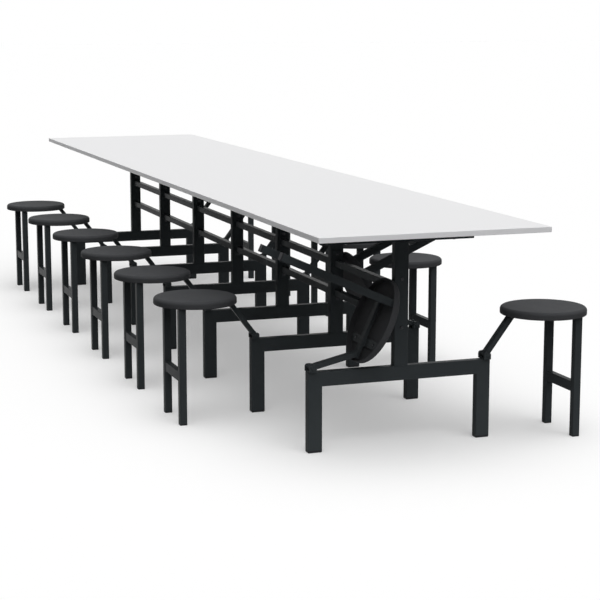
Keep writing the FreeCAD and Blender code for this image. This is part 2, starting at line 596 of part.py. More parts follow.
# Trestles and what is fixed to them
trestle = trestle_pieces()
for index in range(1, TRESTLES + 1):
    node(f"trestle_{index}", trestle, along(index))
foot = plug("trestle_foot", "Sizes.tube_deep", "Sizes.leg_wide", "Sizes.tube_wall", "Sizes.foot_tall",
            "Sizes.foot_round")
place(foot, y=f"{LEG_OUT} - Sizes.leg_wide / 2")
repeated("trestle_feet", [foot, turned("other_trestle_foot", [foot])])
cap = plug("bearer_cap", "Sizes.tube_deep", "Sizes.bearer_tall", "Sizes.tube_wall", "Sizes.cap_thick",
           "Sizes.cap_thick / 2")
place(cap, y="Sizes.bearer_length / 2 + Sizes.cap_thick", z=f"{BEARER_BASE} + Sizes.bearer_tall / 2",
      axis=X_AXIS, angle="90")
repeated("bearer_end_caps", [cap, turned("other_bearer_cap", [cap])])
pin, pin_caps = pin_pieces()
repeated("hinge_pins", [pin, turned("other_hinge_pin", [pin])])
repeated("hinge_pin_caps", pin_caps + [turned("other_pin_caps", pin_caps)])

# Rails
(upper_rail, lower_rail), end_plates = rail_pieces()
repeated("upper_rails", [upper_rail], TRESTLES - 1)
repeated("lower_rails", [lower_rail], TRESTLES - 1)
repeated("rail_end_plates", end_plates, TRESTLES - 1)
inner_bolts = bolt_pieces("inner", 2)
end_bolts = bolt_pieces("end", 1)
bolt_sets = [place(group(f"bolts_{index}", inner_bolts), x=along(index)) for index in range(2, TRESTLES)]
bolt_sets.append(place(group("near_end_bolts", end_bolts), x=along(TRESTLES)))
bolt_sets.append(place(group("far_end_bolts", end_bolts), x=along(1), axis=Z_AXIS, angle="180"))
node("rail_bolts", bolt_sets)

# Stools
stool = {"seat": [seat_piece()], "stool_frame": stool_frame_pieces(), "stool_fittings": stool_fittings()}
folded_stool = {kind: [folded(f"folded_{kind}", pieces)] for kind, pieces in stool.items()}
for side in ("L", "R"):
    for index in range(1, TRESTLES + 1):
        source = folded_stool if (side, index) in FOLDED else stool
        for kind, pieces in source.items():
            node(f"{kind}_{side}{index}", pieces, along(index), half_turn=side == "L")

doc.recompute()
for item in doc.Objects:
    if "Invalid" in item.State or "Error" in item.State:
        raise RuntimeError(f"{item.Name} failed: {item.State}")
for item in nodes:
    if item.Shape.isNull() or not item.Shape.isValid() or not item.Shape.Solids:
        raise RuntimeError(f"{item.Label} has no valid solid")
os.makedirs("parts", exist_ok=True)
for item in nodes:
    item.Shape.exportStep(f"parts/{item.Label}.step")
print(len(nodes), "sub-parts,", sum(len(item.Shape.Solids) for item in nodes), "solids")
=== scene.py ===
import json
import math

import bmesh
import bpy
import numpy as np
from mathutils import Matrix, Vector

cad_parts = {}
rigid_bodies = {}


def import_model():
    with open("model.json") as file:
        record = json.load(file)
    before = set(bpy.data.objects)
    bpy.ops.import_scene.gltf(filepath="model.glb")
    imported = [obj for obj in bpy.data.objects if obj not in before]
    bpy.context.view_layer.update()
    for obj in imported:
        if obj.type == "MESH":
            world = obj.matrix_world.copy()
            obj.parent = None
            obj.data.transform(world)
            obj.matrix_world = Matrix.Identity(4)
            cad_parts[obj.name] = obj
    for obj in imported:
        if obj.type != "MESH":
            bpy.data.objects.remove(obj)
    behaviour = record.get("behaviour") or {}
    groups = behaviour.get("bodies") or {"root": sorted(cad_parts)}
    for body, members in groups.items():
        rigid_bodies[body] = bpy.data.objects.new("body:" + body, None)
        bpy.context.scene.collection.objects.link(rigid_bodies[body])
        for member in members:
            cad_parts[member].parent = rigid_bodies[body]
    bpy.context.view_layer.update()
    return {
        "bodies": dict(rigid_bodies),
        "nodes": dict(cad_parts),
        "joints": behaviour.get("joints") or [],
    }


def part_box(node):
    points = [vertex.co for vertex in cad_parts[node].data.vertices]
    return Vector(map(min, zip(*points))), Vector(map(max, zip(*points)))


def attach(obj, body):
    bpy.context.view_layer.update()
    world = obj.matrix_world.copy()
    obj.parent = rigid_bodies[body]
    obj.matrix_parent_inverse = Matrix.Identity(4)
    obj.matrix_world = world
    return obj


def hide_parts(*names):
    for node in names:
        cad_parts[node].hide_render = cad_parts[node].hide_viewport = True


# A long canteen table on seven welded trestles, with fourteen round stools that fold away under it.
# Metres, +Z up and +X along the table towards the camera, in the frame of the solids.
# The pieces of a trestle are worked out for one that stands at X = 0, and those of a stool for a lowered
# one on its +Y side. Each copy is then moved to its place.

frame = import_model()

MM = 0.001
X, Y, Z = np.eye(3)

# Places that the frame gives
TRESTLES = sorted(name for name in frame["nodes"] if name.startswith("trestle_") and name[-1].isdigit())
TRESTLE_X = [(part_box(name)[0].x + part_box(name)[1].x) / 2 for name in TRESTLES]
TRESTLE_LOW, TRESTLE_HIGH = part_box("trestle_7")
STOOLS = sorted(name for name in frame["bodies"] if name.startswith("stool_"))
STOOL_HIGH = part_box("stool_frame_R7")[1]
SEAT_LOW, SEAT_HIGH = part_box("seat_R7")
JOINTS = {joint["child"]: joint for joint in frame["joints"]}
HINGE_OUT, HINGE_HEIGHT = JOINTS["stool_R7"]["pos_m"][1:]
HINGE = np.array([0, HINGE_OUT, HINGE_HEIGHT])
BOARD_LOW, BOARD_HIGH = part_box("tabletop")
BAND_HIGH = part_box("edge_bands")[1]
BEARER_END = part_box("bearer_end_caps")[1].y
PLATE_LOW, PLATE_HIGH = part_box("rail_end_plates")

# Trestle tubes
TUBE_DEEP = 30 * MM
TUBE_ROUND = 3 * MM
LEG_WIDE = 50 * MM
BEAM_TALL = 50 * MM
BEARER_TALL = 50 * MM
FOOT_ROUND = 5 * MM
CAP_THICK = 3 * MM
SHADOW_GAP = 0.25 * MM

# Rails and their end plates
RAIL_ROUND = 2 * MM
PLATE_THICK = 5 * MM
PLATE_ROUND = 3 * MM
PLATE_MARGIN = 15 * MM

# Bolts and screws
BOLT_HEAD_RADIUS = 6 * MM
BOLT_HEAD_TALL = 4 * MM
BOLT_RADIUS = 3 * MM
BOLT_TAIL = 2 * MM
NUT_FLAT = 5 * MM
NUT_TALL = 5 * MM
NUT_CROWN_SHARE = 0.93
SCREW_HEAD_RADIUS = 5.5 * MM
SCREW_HEAD_TALL = 3 * MM
SCREW_OUT = 194 * MM

# Button heads: degrees along the crown's ellipse, and shares of a head's radius and height
CROWN_START, CROWN_END = 15, 65
HEAD_RIM_SHARE = 0.25
SOCKET_SHARES = ((0.36, 1), (0.33, 0.95), (0.33, 0.45), (0, 0.4))

# Hinge
BRACKET_LENGTH = 49 * MM
BRACKET_WIDE = 26 * MM
BRACKET_BASE = 3 * MM
EAR_THICK = 6 * MM
EAR_RISE = 10 * MM
EAR_ROUND = 9 * MM
HINGE_LIFT = 2.5 * MM
KNUCKLE_LENGTH = 32 * MM
BUSH_RADIUS = 8 * MM
BUSH_THICK = 2 * MM
PIN_RADIUS = 4 * MM
PIN_CAP_RADIUS = 7 * MM
PIN_CAP_TALL = 3 * MM
PIN_CAP_SHARES = ((1, 0), (1, 1 / 3), (0.93, 0.55), (0.75, 0.82), (0.4, 0.97), (0, 1))

# Stool frame
ARM_WIDE = 30 * MM
ARM_TALL = 17 * MM
ARM_ANGLE = math.radians(53)
STOOL_TUBE = 26 * MM
STOOL_ROUND = 2 * MM
LEG_SPREAD = 100 * MM
TIP_TALL = 5 * MM
TIP_ROUND = 1.5 * MM
CROSSBAR_TALL = 35 * MM
CROSSBAR_DEEP = 23 * MM
CROSSBAR_HEIGHT = 173 * MM
SPINE_TALL = 12 * MM
SPINE_REACH = 136 * MM
HEAD_BAR_TALL = 16 * MM
STRAP_WIDE = 30 * MM
STRAP_THICK = 4 * MM
STRAP_LENGTH = 210 * MM
STRAP_ROUND = 4 * MM
STRAP_SETBACK = 74 * MM
SEAT_SCREW_SPREAD = 75 * MM
SEAT_SCREW_RADIUS = 5 * MM

# Seat
SEAT_SKIN = 6 * MM
SEAT_DISH = 1.2 * MM
EDGE_ROUND = 12 * MM
RIM_WALL = 4 * MM
RIM_ROUND = 3 * MM
LIP_ROUND = 0.8 * MM
RECESS_ROUND = 4 * MM
BOSS_RADIUS = 10 * MM
BOSS_TALL = 4 * MM
BOSS_FLARE = 1.5 * MM
SPRUE_RADIUS = 4 * MM
SPRUE_END_SHARE = 0.8

# Welds and small bevels
BEVEL = 0.6 * MM
WELD = 1.6 * MM
FINE_WELD = 1.3 * MM
WELD_RIPPLE = 5 * MM
WELD_SWELL_SHARE = 1 / 6
RUN_OUT_SHARES = (0.15, 0.85)
RUN_OUT_POWER = 0.25

# How finely round shapes are divided, and the angle from which an edge is sharp, in degrees
ARC_STEPS = 6
TURNED_SIDES = 32
NUT_SIDES = 36
BOLT_SIDES = 24
CROWN_RINGS = 5
KNUCKLE_STEPS = 16
SEAT_SIDES = 128
DISH_RINGS = 14
EDGE_STEPS = 10
RIM_STEPS = 4
RECESS_STEPS = 5
WELD_SIDES = 8
RIPPLE_STEPS = 4
FEWEST_WELD_STEPS = 8
SHARP_EDGE = 40

# Heights and places that follow
SPAN_HALF = TRESTLE_HIGH.y
LEG_OUT = SPAN_HALF - LEG_WIDE / 2
TUBE_FACE = TUBE_DEEP / 2
BAYS = [(x + TUBE_FACE, following - TUBE_FACE) for x, following in zip(TRESTLE_X, TRESTLE_X[1:])]
BEARER_BASE = BOARD_LOW.z - BEARER_TALL
BEARER_MIDDLE = BOARD_LOW.z - BEARER_TALL / 2
BEAM_TOP = HINGE_HEIGHT - ARM_TALL / 2 - HINGE_LIFT - BRACKET_BASE
EAR_BASE = BEAM_TOP + BRACKET_BASE
SEAT_OUT = (SEAT_LOW.y + SEAT_HIGH.y) / 2
SEAT_RADIUS = (SEAT_HIGH.x - SEAT_LOW.x) / 2
SEAT_TOP = SEAT_HIGH.z
BAR_BASE = SEAT_LOW.z
STRAP_BASE = BAR_BASE + SPINE_TALL
STOOL_LEG_OUT = STOOL_HIGH.y - STOOL_TUBE / 2
STRAP_OUT = SEAT_OUT - STRAP_SETBACK
SEAT_SCREWS = [(side * SEAT_SCREW_SPREAD, out, base) for side in (-1, 1)
               for out, base in ((STRAP_OUT, STRAP_BASE), (STOOL_LEG_OUT, BAR_BASE))]


# Surfaces

def unit(vector):
    """The vector at length one."""
    return np.asarray(vector, float) / np.linalg.norm(vector)


def arc(centre, radius, start, end, steps=ARC_STEPS):
    """Points on a circle: the centre plus the radius times (cos a, sin a), a from start to end in degrees."""
    angle = np.radians(np.linspace(start, end, steps + 1))
    return np.asarray(centre) + radius * np.stack([np.cos(angle), np.sin(angle)], axis=1)


def rounded_rectangle(wide, deep, radius):
    """An anticlockwise outline: a quarter circle about the centre of each of the four round corners."""
    across, up = wide / 2 - radius, deep / 2 - radius
    corners = (((across, up), 0), ((-across, up), 90), ((-across, -up), 180), ((across, -up), 270))
    return np.concatenate([arc(centre, radius, turn, turn + 90) for centre, turn in corners])


def skin(rings, loop=False, caps=True):
    """A surface over an array of rings, (rings, points in a ring, 3): a quad between each two points of
    neighbouring rings, each ring closed, and a flat face on both end rings unless the rings form a loop."""
    count, size = rings.shape[:2]
    index = np.arange(count * size).reshape(count, size)
    after = np.roll(index, -1, axis=1)
    above = np.roll(index, -1, axis=0)
    above_after = np.roll(after, -1, axis=0)
    quads = np.stack([index, after, above_after, above], axis=-1)
    faces = quads[:count if loop else count - 1].reshape(-1, 4).tolist()
    if caps and not loop:
        faces += [index[0, ::-1].tolist(), index[-1].tolist()]
    return rings.reshape(-1, 3), faces


def join(*parts):
    """Several surfaces as one."""
    points, faces, first = [], [], 0
    for part_points, part_faces in parts:
        points.append(part_points)
        faces += [[corner + first for corner in face] for face in part_faces]
        first += len(part_points)
    return np.concatenate(points), faces


def moved(part, shift=(0, 0, 0), turn=None):
    """A surface turned by a matrix and then shifted."""
    points, faces = part
    return (points if turn is None else points @ np.asarray(turn).T) + np.asarray(shift), faces


def turned(axis, angle):
    """The matrix of a turn about an axis by an angle: the cosine, sine and outer-product terms added up."""
    axis = unit(axis)
    cross = np.cross(np.eye(3), axis)
    outer = np.outer(axis, axis)
    return math.cos(angle) * np.eye(3) + math.sin(angle) * cross + (1 - math.cos(angle)) * outer


# A half turn about Z, and the turns that take a piece made along +Z to the direction named
HALF_TURN = turned(Z, math.pi)
TO_PLUS_X = np.stack([Y, Z, X], axis=1)
TO_MINUS_X = np.stack([-Y, Z, -X], axis=1)
TO_MINUS_Y = np.stack([X, Z, -Y], axis=1)
TO_MINUS_Z = np.stack([X, -Y, -Z], axis=1)


def tube(wide, deep, radius, start, end, across, end_plane=None):
    """A rounded section carried along a straight line. The section's points slide along the line until
    they lie in the end's plane, which is square to the line unless its normal is given."""
    start, end = np.asarray(start), np.asarray(end)
    axis = unit(end - start)
    outline = rounded_rectangle(wide, deep, radius)
    spread = outline[:, :1] * across + outline[:, 1:] * np.cross(axis, across)
    normal = axis if end_plane is None else end_plane
    slide = -(spread @ normal) / (axis @ normal)
    return skin(np.array([start + spread, end + spread + slide[:, None] * axis]))


def drawn_in(outline, inset):
    """An outline moved inwards along its own normals."""
    along = np.roll(outline, -1, axis=0) - np.roll(outline, 1, axis=0)
    normal = np.stack([along[:, 1], -along[:, 0]], axis=1)
    return outline - inset * normal / np.linalg.norm(normal, axis=1, keepdims=True)


def stack(outline, levels):
    """A flat piece on the XY plane: its outline at each (height, inset) level, drawn in by the inset."""
    rings = []
    for height, inset in levels:
        ring = drawn_in(outline, inset)
        rings.append(np.column_stack([ring, np.full(len(ring), height)]))
    return skin(np.array(rings))


def plate_levels(thick):
    """Levels of a plate with both rims bevelled."""
    return [(0, BEVEL), (BEVEL, 0), (thick - BEVEL, 0), (thick, BEVEL)]


def round_levels(tall, radius):
    """Levels of a block whose lower rim is a quarter circle and whose upper rim keeps a fine shadow gap."""
    rim = arc((0, radius), radius, -90, 0)
    levels = [(height, radius - across) for across, height in rim]
    return levels + [(tall - 2 * SHADOW_GAP, 0), (tall, SHADOW_GAP)]


def lathe(profile, sides=TURNED_SIDES, hexagon=(), loop=False):
    """A turned piece about Z: (radius, height) points carried round, closed to a pole where the radius is 0.
    On the rings listed as hexagon the radius is divided by the cosine of the angle from the nearest flat."""
    profile = np.asarray(profile, float)
    angle = np.arange(sides) * 2 * math.pi / sides
    flat_angle = math.pi / 3
    from_flat = (angle + flat_angle / 2) % flat_angle - flat_angle / 2
    radius = np.repeat(profile[:, :1], sides, axis=1)
    for ring in hexagon:
        radius[ring] /= np.cos(from_flat)
    height = np.repeat(profile[:, 1:], sides, axis=1)
    rings = np.stack([radius * np.cos(angle), radius * np.sin(angle), height], axis=-1)
    points, faces = skin(rings, loop=loop, caps=False)
    owner = np.arange(len(points)).reshape(len(profile), sides)
    poles = profile[:, 0] == 0
    owner[poles] = owner[poles][:, :1]
    kept, renumbered = np.unique(owner, return_inverse=True)
    renumbered = renumbered.reshape(-1)
    faces = [list(dict.fromkeys(renumbered[face].tolist())) for face in faces]
    return points[kept], faces


def evenly(path, spacing, closed):
    """Points at even steps along a path, by its running length."""
    path = np.asarray(path, float)
    if closed:
        path = np.concatenate([path, path[:1]])
    run = np.concatenate([[0], np.cumsum(np.linalg.norm(np.diff(path, axis=0), axis=1))])
    count = max(int(run[-1] / spacing), FEWEST_WELD_STEPS)
    stations = np.linspace(0, run[-1], count + 1)[: count if closed else None]
    return np.stack([np.interp(stations, run, path[:, axis]) for axis in range(3)], axis=1)


def weld(path, lift, radius=WELD, closed=True):
    """A weld bead: a circle carried along a path, in the plane of the lift direction and the path's side,
    with its radius swelling in even ripples, by a share of itself, and running out at open ends."""
    path = evenly(path, WELD_RIPPLE / RIPPLE_STEPS, closed)
    if closed:
        along = np.roll(path, -1, axis=0) - np.roll(path, 1, axis=0)
    else:
        along = np.gradient(path, axis=0)
    along /= np.linalg.norm(along, axis=1, keepdims=True)
    side = np.cross(along, lift)
    ripple = np.abs(np.sin(np.arange(len(path)) * math.pi / RIPPLE_STEPS))
    swell = radius * (1 + WELD_SWELL_SHARE * ripple)
    if not closed:
        swell = swell * np.sin(np.linspace(*RUN_OUT_SHARES, len(path)) * math.pi) ** RUN_OUT_POWER
    angle = np.arange(WELD_SIDES) * 2 * math.pi / WELD_SIDES
    ring = np.cos(angle)[:, None] * lift + np.sin(angle)[:, None] * side[:, None]
    return skin(path[:, None] + swell[:, None, None] * ring, loop=closed)


def outline_at(wide, deep, radius, centre, across, up):
    """A rounded rectangle as a path in space."""
    outline = rounded_rectangle(wide, deep, radius)
    return np.asarray(centre) + outline[:, :1] * across + outline[:, 1:] * up


# Trestle

def legs_and_beam():
    """One section (x, s) carried up a leg, along the beam and down the other leg. s runs from the inner to
    the outer face, and at a corner the ring lies in the mitre plane, where s also lifts the point."""
    x, s = rounded_rectangle(TUBE_DEEP, LEG_WIDE, TUBE_ROUND).T
    corner = BEAM_TOP - BEAM_TALL / 2 + s * BEAM_TALL / LEG_WIDE
    foot = np.full(len(s), TRESTLE_LOW.z)
    stations = ((-1, foot), (-1, corner), (1, corner), (1, foot))
    rings = [np.stack([x, side * (LEG_OUT + s), height], axis=1) for side, height in stations]
    return skin(np.array(rings))


def ear_outline():
    """A flat base with two round upper corners."""
    half = BRACKET_WIDE / 2
    across = half - EAR_ROUND
    up = HINGE_HEIGHT + EAR_RISE - EAR_BASE - EAR_ROUND
    return np.concatenate([[(-half, 0), (half, 0)], arc((across, up), EAR_ROUND, 0, 90),
                           arc((-across, up), EAR_ROUND, 90, 180)])


def hinge_bracket():
    """A base plate over the end of the beam, its two welds, and two ears set along X."""
    plate = stack(rounded_rectangle(BRACKET_LENGTH, BRACKET_WIDE, BEVEL), plate_levels(BRACKET_BASE))
    base = moved(plate, (0, HINGE_OUT, BEAM_TOP))
    ear = stack(ear_outline(), plate_levels(EAR_THICK))
    ears = [moved(ear, (start, HINGE_OUT, EAR_BASE), TO_PLUS_X)
            for start in (-BRACKET_LENGTH / 2, BRACKET_LENGTH / 2 - EAR_THICK)]
    reach = BRACKET_WIDE / 2 - WELD
    welds = [weld([(x, HINGE_OUT + y, BEAM_TOP) for y in (-reach, reach)], Z, FINE_WELD, closed=False)
             for x in (-TUBE_FACE, TUBE_FACE)]
    return join(base, *ears, *welds)


def trestle():
    """Legs and beam, the post welded on the beam, the bearer welded on the post, and two hinge brackets."""
    post = tube(TUBE_DEEP, LEG_WIDE, TUBE_ROUND, (0, 0, BEAM_TOP), (0, 0, BEARER_BASE), X)
    bearer_half = BEARER_END - CAP_THICK
    bearer = tube(TUBE_DEEP, BEARER_TALL, TUBE_ROUND, (0, -bearer_half, BEARER_MIDDLE),
                  (0, bearer_half, BEARER_MIDDLE), X)
    welds = [weld(outline_at(TUBE_DEEP - WELD, LEG_WIDE, TUBE_ROUND, (0, 0, height), X, Y), Z)
             for height in (BEAM_TOP, BEARER_BASE)]
    bracket = hinge_bracket()
    return join(legs_and_beam(), post, bearer, bracket, moved(bracket, turn=HALF_TURN), *welds)


def trestle_feet():
    """A plastic foot under each leg, its lower rim a quarter circle."""
    outline = rounded_rectangle(TUBE_DEEP, LEG_WIDE, TUBE_ROUND)
    foot = stack(outline, round_levels(TRESTLE_LOW.z, FOOT_ROUND))
    return join(moved(foot, (0, LEG_OUT, 0)), moved(foot, (0, -LEG_OUT, 0)))


def bearer_caps():
    """A plastic cap on each end of the bearer, its outer rim a quarter circle."""
    outline = rounded_rectangle(TUBE_DEEP, BEARER_TALL, TUBE_ROUND)
    cap = stack(outline, round_levels(CAP_THICK, CAP_THICK / 2))
    right = moved(cap, (0, BEARER_END, BEARER_MIDDLE), TO_MINUS_Y)
    return join(right, moved(right, turn=HALF_TURN))


def pin_caps():
    """A domed cap on both ends of both hinge pins: a rim, a shoulder and a flat dome."""
    dome = lathe(np.array(PIN_CAP_SHARES) * (PIN_CAP_RADIUS, PIN_CAP_TALL))
    near = moved(dome, HINGE + X * BRACKET_LENGTH / 2, TO_PLUS_X)
    far = moved(dome, HINGE - X * BRACKET_LENGTH / 2, TO_MINUS_X)
    pair = join(near, far)
    return join(pair, moved(pair, turn=HALF_TURN))


def at_trestles(part):
    """A copy of a piece at each trestle."""
    return join(*[moved(part, (x, 0, 0)) for x in TRESTLE_X])


# Bolts and screws

def socket_head(radius, tall):
    """A low button head: a rim, a stretch of an ellipse over it, and a hexagon socket sunk in its crown."""
    rim = [(1, 0), (1, HEAD_RIM_SHARE)]
    angle = np.radians(np.linspace(CROWN_START, CROWN_END, CROWN_RINGS))
    crown = np.stack([np.cos(angle), HEAD_RIM_SHARE + (1 - HEAD_RIM_SHARE) * np.sin(angle)], axis=1)
    profile = np.concatenate([rim, crown, SOCKET_SHARES]) * (radius, tall)
    return lathe(profile, hexagon=range(len(rim) + len(crown), len(profile) - 1))


def top_screws():
    """A head under the bearer for each of its two screws, with a hexagon socket."""
    head = moved(socket_head(SCREW_HEAD_RADIUS, SCREW_HEAD_TALL), (0, SCREW_OUT, BEARER_BASE), TO_MINUS_Z)
    return join(head, moved(head, turn=HALF_TURN))


def seat_screws():
    """A socket head under the strap or the head bar for each of the seat's screws."""
    head = socket_head(SEAT_SCREW_RADIUS, SCREW_HEAD_TALL)
    return join(*[moved(head, place, TO_MINUS_Z) for place in SEAT_SCREWS])


def post_bolts(head_face, nut_face):
    """Two bolts through a post: a socket head on the +X side, and on the other side a bevelled nut with the
    bolt's end beyond it."""
    nut = lathe([(0, 0), (NUT_FLAT, 0), (NUT_FLAT, NUT_TALL - BEVEL),
                 (NUT_FLAT * NUT_CROWN_SHARE, NUT_TALL), (0, NUT_TALL)], NUT_SIDES, hexagon=(1, 2))
    end = lathe([(0, 0), (BOLT_RADIUS, 0), (BOLT_RADIUS, BOLT_TAIL - BEVEL),
                 (BOLT_RADIUS - BEVEL, BOLT_TAIL), (0, BOLT_TAIL)], BOLT_SIDES)
    tail = join(nut, moved(end, (0, 0, NUT_TALL)))
    head = socket_head(BOLT_HEAD_RADIUS, BOLT_HEAD_TALL)
    parts = []
    for height in (PLATE_LOW.z + PLATE_MARGIN, PLATE_HIGH.z - PLATE_MARGIN):
        parts.append(moved(head, (head_face, 0, height), TO_PLUS_X))
        parts.append(moved(tail, (nut_face, 0, height), TO_MINUS_X))
    return join(*parts)


def all_post_bolts():
    """The bolts of every post. An inner post has end plates on both sides. On the end posts the heads lie on
    the bare outer face, so the far end's bolts are the near end's, turned round."""
    inner = post_bolts(TUBE_FACE + PLATE_THICK, -TUBE_FACE - PLATE_THICK)
    near = post_bolts(TUBE_FACE, -TUBE_FACE - PLATE_THICK)
    sets = [moved(near, turn=HALF_TURN)] + [inner] * (len(TRESTLES) - 2) + [near]
    return join(*[moved(bolts, (x, 0, 0)) for bolts, x in zip(sets, TRESTLE_X)])


# Rails

def rails(low, high):
    """A rail between the end plates of each two trestles, with a weld round both of its ends."""
    size = high.z - low.z
    centre = (low.z + high.z) / 2
    parts = []
    for start, end in BAYS:
        ends = [(start + PLATE_THICK, 0, centre), (end - PLATE_THICK, 0, centre)]
        parts.append(tube(size, size, RAIL_ROUND, *ends, Y))
        parts += [weld(outline_at(size, size, RAIL_ROUND, place, Y, Z), X, FINE_WELD) for place in ends]
    return join(*parts)


def end_plates():
    """A bevelled plate against the post at both ends of each bay."""
    outline = rounded_rectangle(PLATE_HIGH.y - PLATE_LOW.y, PLATE_HIGH.z - PLATE_LOW.z, PLATE_ROUND)
    plate = stack(outline, plate_levels(PLATE_THICK))
    centre = (PLATE_LOW.z + PLATE_HIGH.z) / 2
    parts = []
    for start, end in BAYS:
        parts.append(moved(plate, (start, 0, centre), TO_PLUS_X))
        parts.append(moved(plate, (end, 0, centre), TO_MINUS_X))
    return join(*parts)


# Table top

def edge_bands():
    """A band round the board: a section (outwards, up) with two round outer corners, carried round the board.
    At a corner of the board the outward direction swings through a right angle."""
    thick = BAND_HIGH.x - BOARD_HIGH.x
    low, high = BOARD_LOW.z, BOARD_HIGH.z
    radius = thick / 2
    section = np.concatenate([[(0, high), (0, low)], arc((thick - radius, low + radius), radius, -90, 0),
                              arc((thick - radius, high - radius), radius, 0, 90)])
    rings = []
    for turn, (across, along) in ((0, (1, 1)), (90, (-1, 1)), (180, (-1, -1)), (270, (1, -1))):
        corner = np.array([across * BOARD_HIGH.x, along * BOARD_HIGH.y, 0])
        for outward in arc((0, 0), 1, turn, turn + 90):
            rings.append(corner + section[:, :1] * np.append(outward, 0) + section[:, 1:] * Z)
    return skin(np.array(rings), loop=True)


# Stool

def knuckle():
    """A barrel round the hinge with a square shoulder towards the arm, as an outline carried along X."""
    half = ARM_TALL / 2
    outline = np.concatenate([arc((0, 0), half, 180, 360, KNUCKLE_STEPS), [(half, half), (-half, half)]])
    block = stack(outline, plate_levels(KNUCKLE_LENGTH))
    lean = turned(X, ARM_ANGLE - math.pi / 2)
    return moved(moved(block, (-KNUCKLE_LENGTH / 2, 0, 0), TO_PLUS_X), HINGE, lean)


def stool_arm():
    """The arm: a tube from the knuckle's shoulder to where its line meets the underside of the spine, with a
    weld round each end."""
    along = np.array([0, math.cos(ARM_ANGLE), math.sin(ARM_ANGLE)])
    lower_end = HINGE + along * ARM_TALL / 2
    upper_end = HINGE + along * (BAR_BASE - HINGE_HEIGHT) / along[2]
    arm = tube(ARM_WIDE, ARM_TALL, STOOL_ROUND, lower_end, upper_end, X, end_plane=Z)
    lower_seam = outline_at(ARM_WIDE, ARM_TALL, STOOL_ROUND, lower_end, X, np.cross(along, X))
    upper_seam = outline_at(ARM_WIDE, ARM_TALL / along[2], STOOL_ROUND, upper_end, X, Y)
    return join(arm, weld(lower_seam, along, FINE_WELD), weld(upper_seam, Z, FINE_WELD))


def seat_bars():
    """Spine, strap and head bar under the seat, with the welds of the spine to the other two."""
    spine_height = BAR_BASE + SPINE_TALL / 2
    spine_end = (0, STOOL_LEG_OUT - STOOL_TUBE / 2, spine_height)
    spine = tube(STOOL_TUBE, SPINE_TALL, STOOL_ROUND, (0, SEAT_OUT - SPINE_REACH, spine_height), spine_end, X)
    bar_half = LEG_SPREAD + STOOL_TUBE / 2
    bar_height = BAR_BASE + HEAD_BAR_TALL / 2
    head_bar = tube(STOOL_TUBE, HEAD_BAR_TALL, STOOL_ROUND, (-bar_half, STOOL_LEG_OUT, bar_height),
                    (bar_half, STOOL_LEG_OUT, bar_height), Y)
    plate = stack(rounded_rectangle(STRAP_LENGTH, STRAP_WIDE, STRAP_ROUND), plate_levels(STRAP_THICK))
    strap = moved(plate, (0, STRAP_OUT, STRAP_BASE))
    welds = [weld(outline_at(STOOL_TUBE, SPINE_TALL, STOOL_ROUND, spine_end, X, Z), Y, FINE_WELD)]
    for x in (-STOOL_TUBE / 2, STOOL_TUBE / 2):
        seam = [(x, STRAP_OUT + y, STRAP_BASE) for y in (-STRAP_WIDE / 2, STRAP_WIDE / 2)]
        welds.append(weld(seam, Z, FINE_WELD, closed=False))
    return join(spine, head_bar, strap, *welds)


def stool_legs():
    """Two legs up to the head bar and a crossbar between them, with their welds."""
    reach = LEG_SPREAD - STOOL_TUBE / 2
    bar_ends = [(x, STOOL_LEG_OUT, CROSSBAR_HEIGHT) for x in (-reach, reach)]
    parts = [tube(CROSSBAR_DEEP, CROSSBAR_TALL, STOOL_ROUND, *bar_ends, Y)]
    for end in bar_ends:
        seam = outline_at(CROSSBAR_DEEP, CROSSBAR_TALL, STOOL_ROUND, end, Y, Z)
        parts.append(weld(seam, X, FINE_WELD))
    for x in (-LEG_SPREAD, LEG_SPREAD):
        foot = (x, STOOL_LEG_OUT, TIP_TALL)
        top = (x, STOOL_LEG_OUT, BAR_BASE)
        parts.append(tube(STOOL_TUBE, STOOL_TUBE, STOOL_ROUND, foot, top, X))
        seam = outline_at(STOOL_TUBE, STOOL_TUBE - FINE_WELD, STOOL_ROUND, top, X, Y)
        parts.append(weld(seam, Z, FINE_WELD))
    return join(*parts)


def stool_frame():
    """Knuckle, arm, the bars under the seat, and the legs with their crossbar."""
    return join(knuckle(), stool_arm(), seat_bars(), stool_legs())


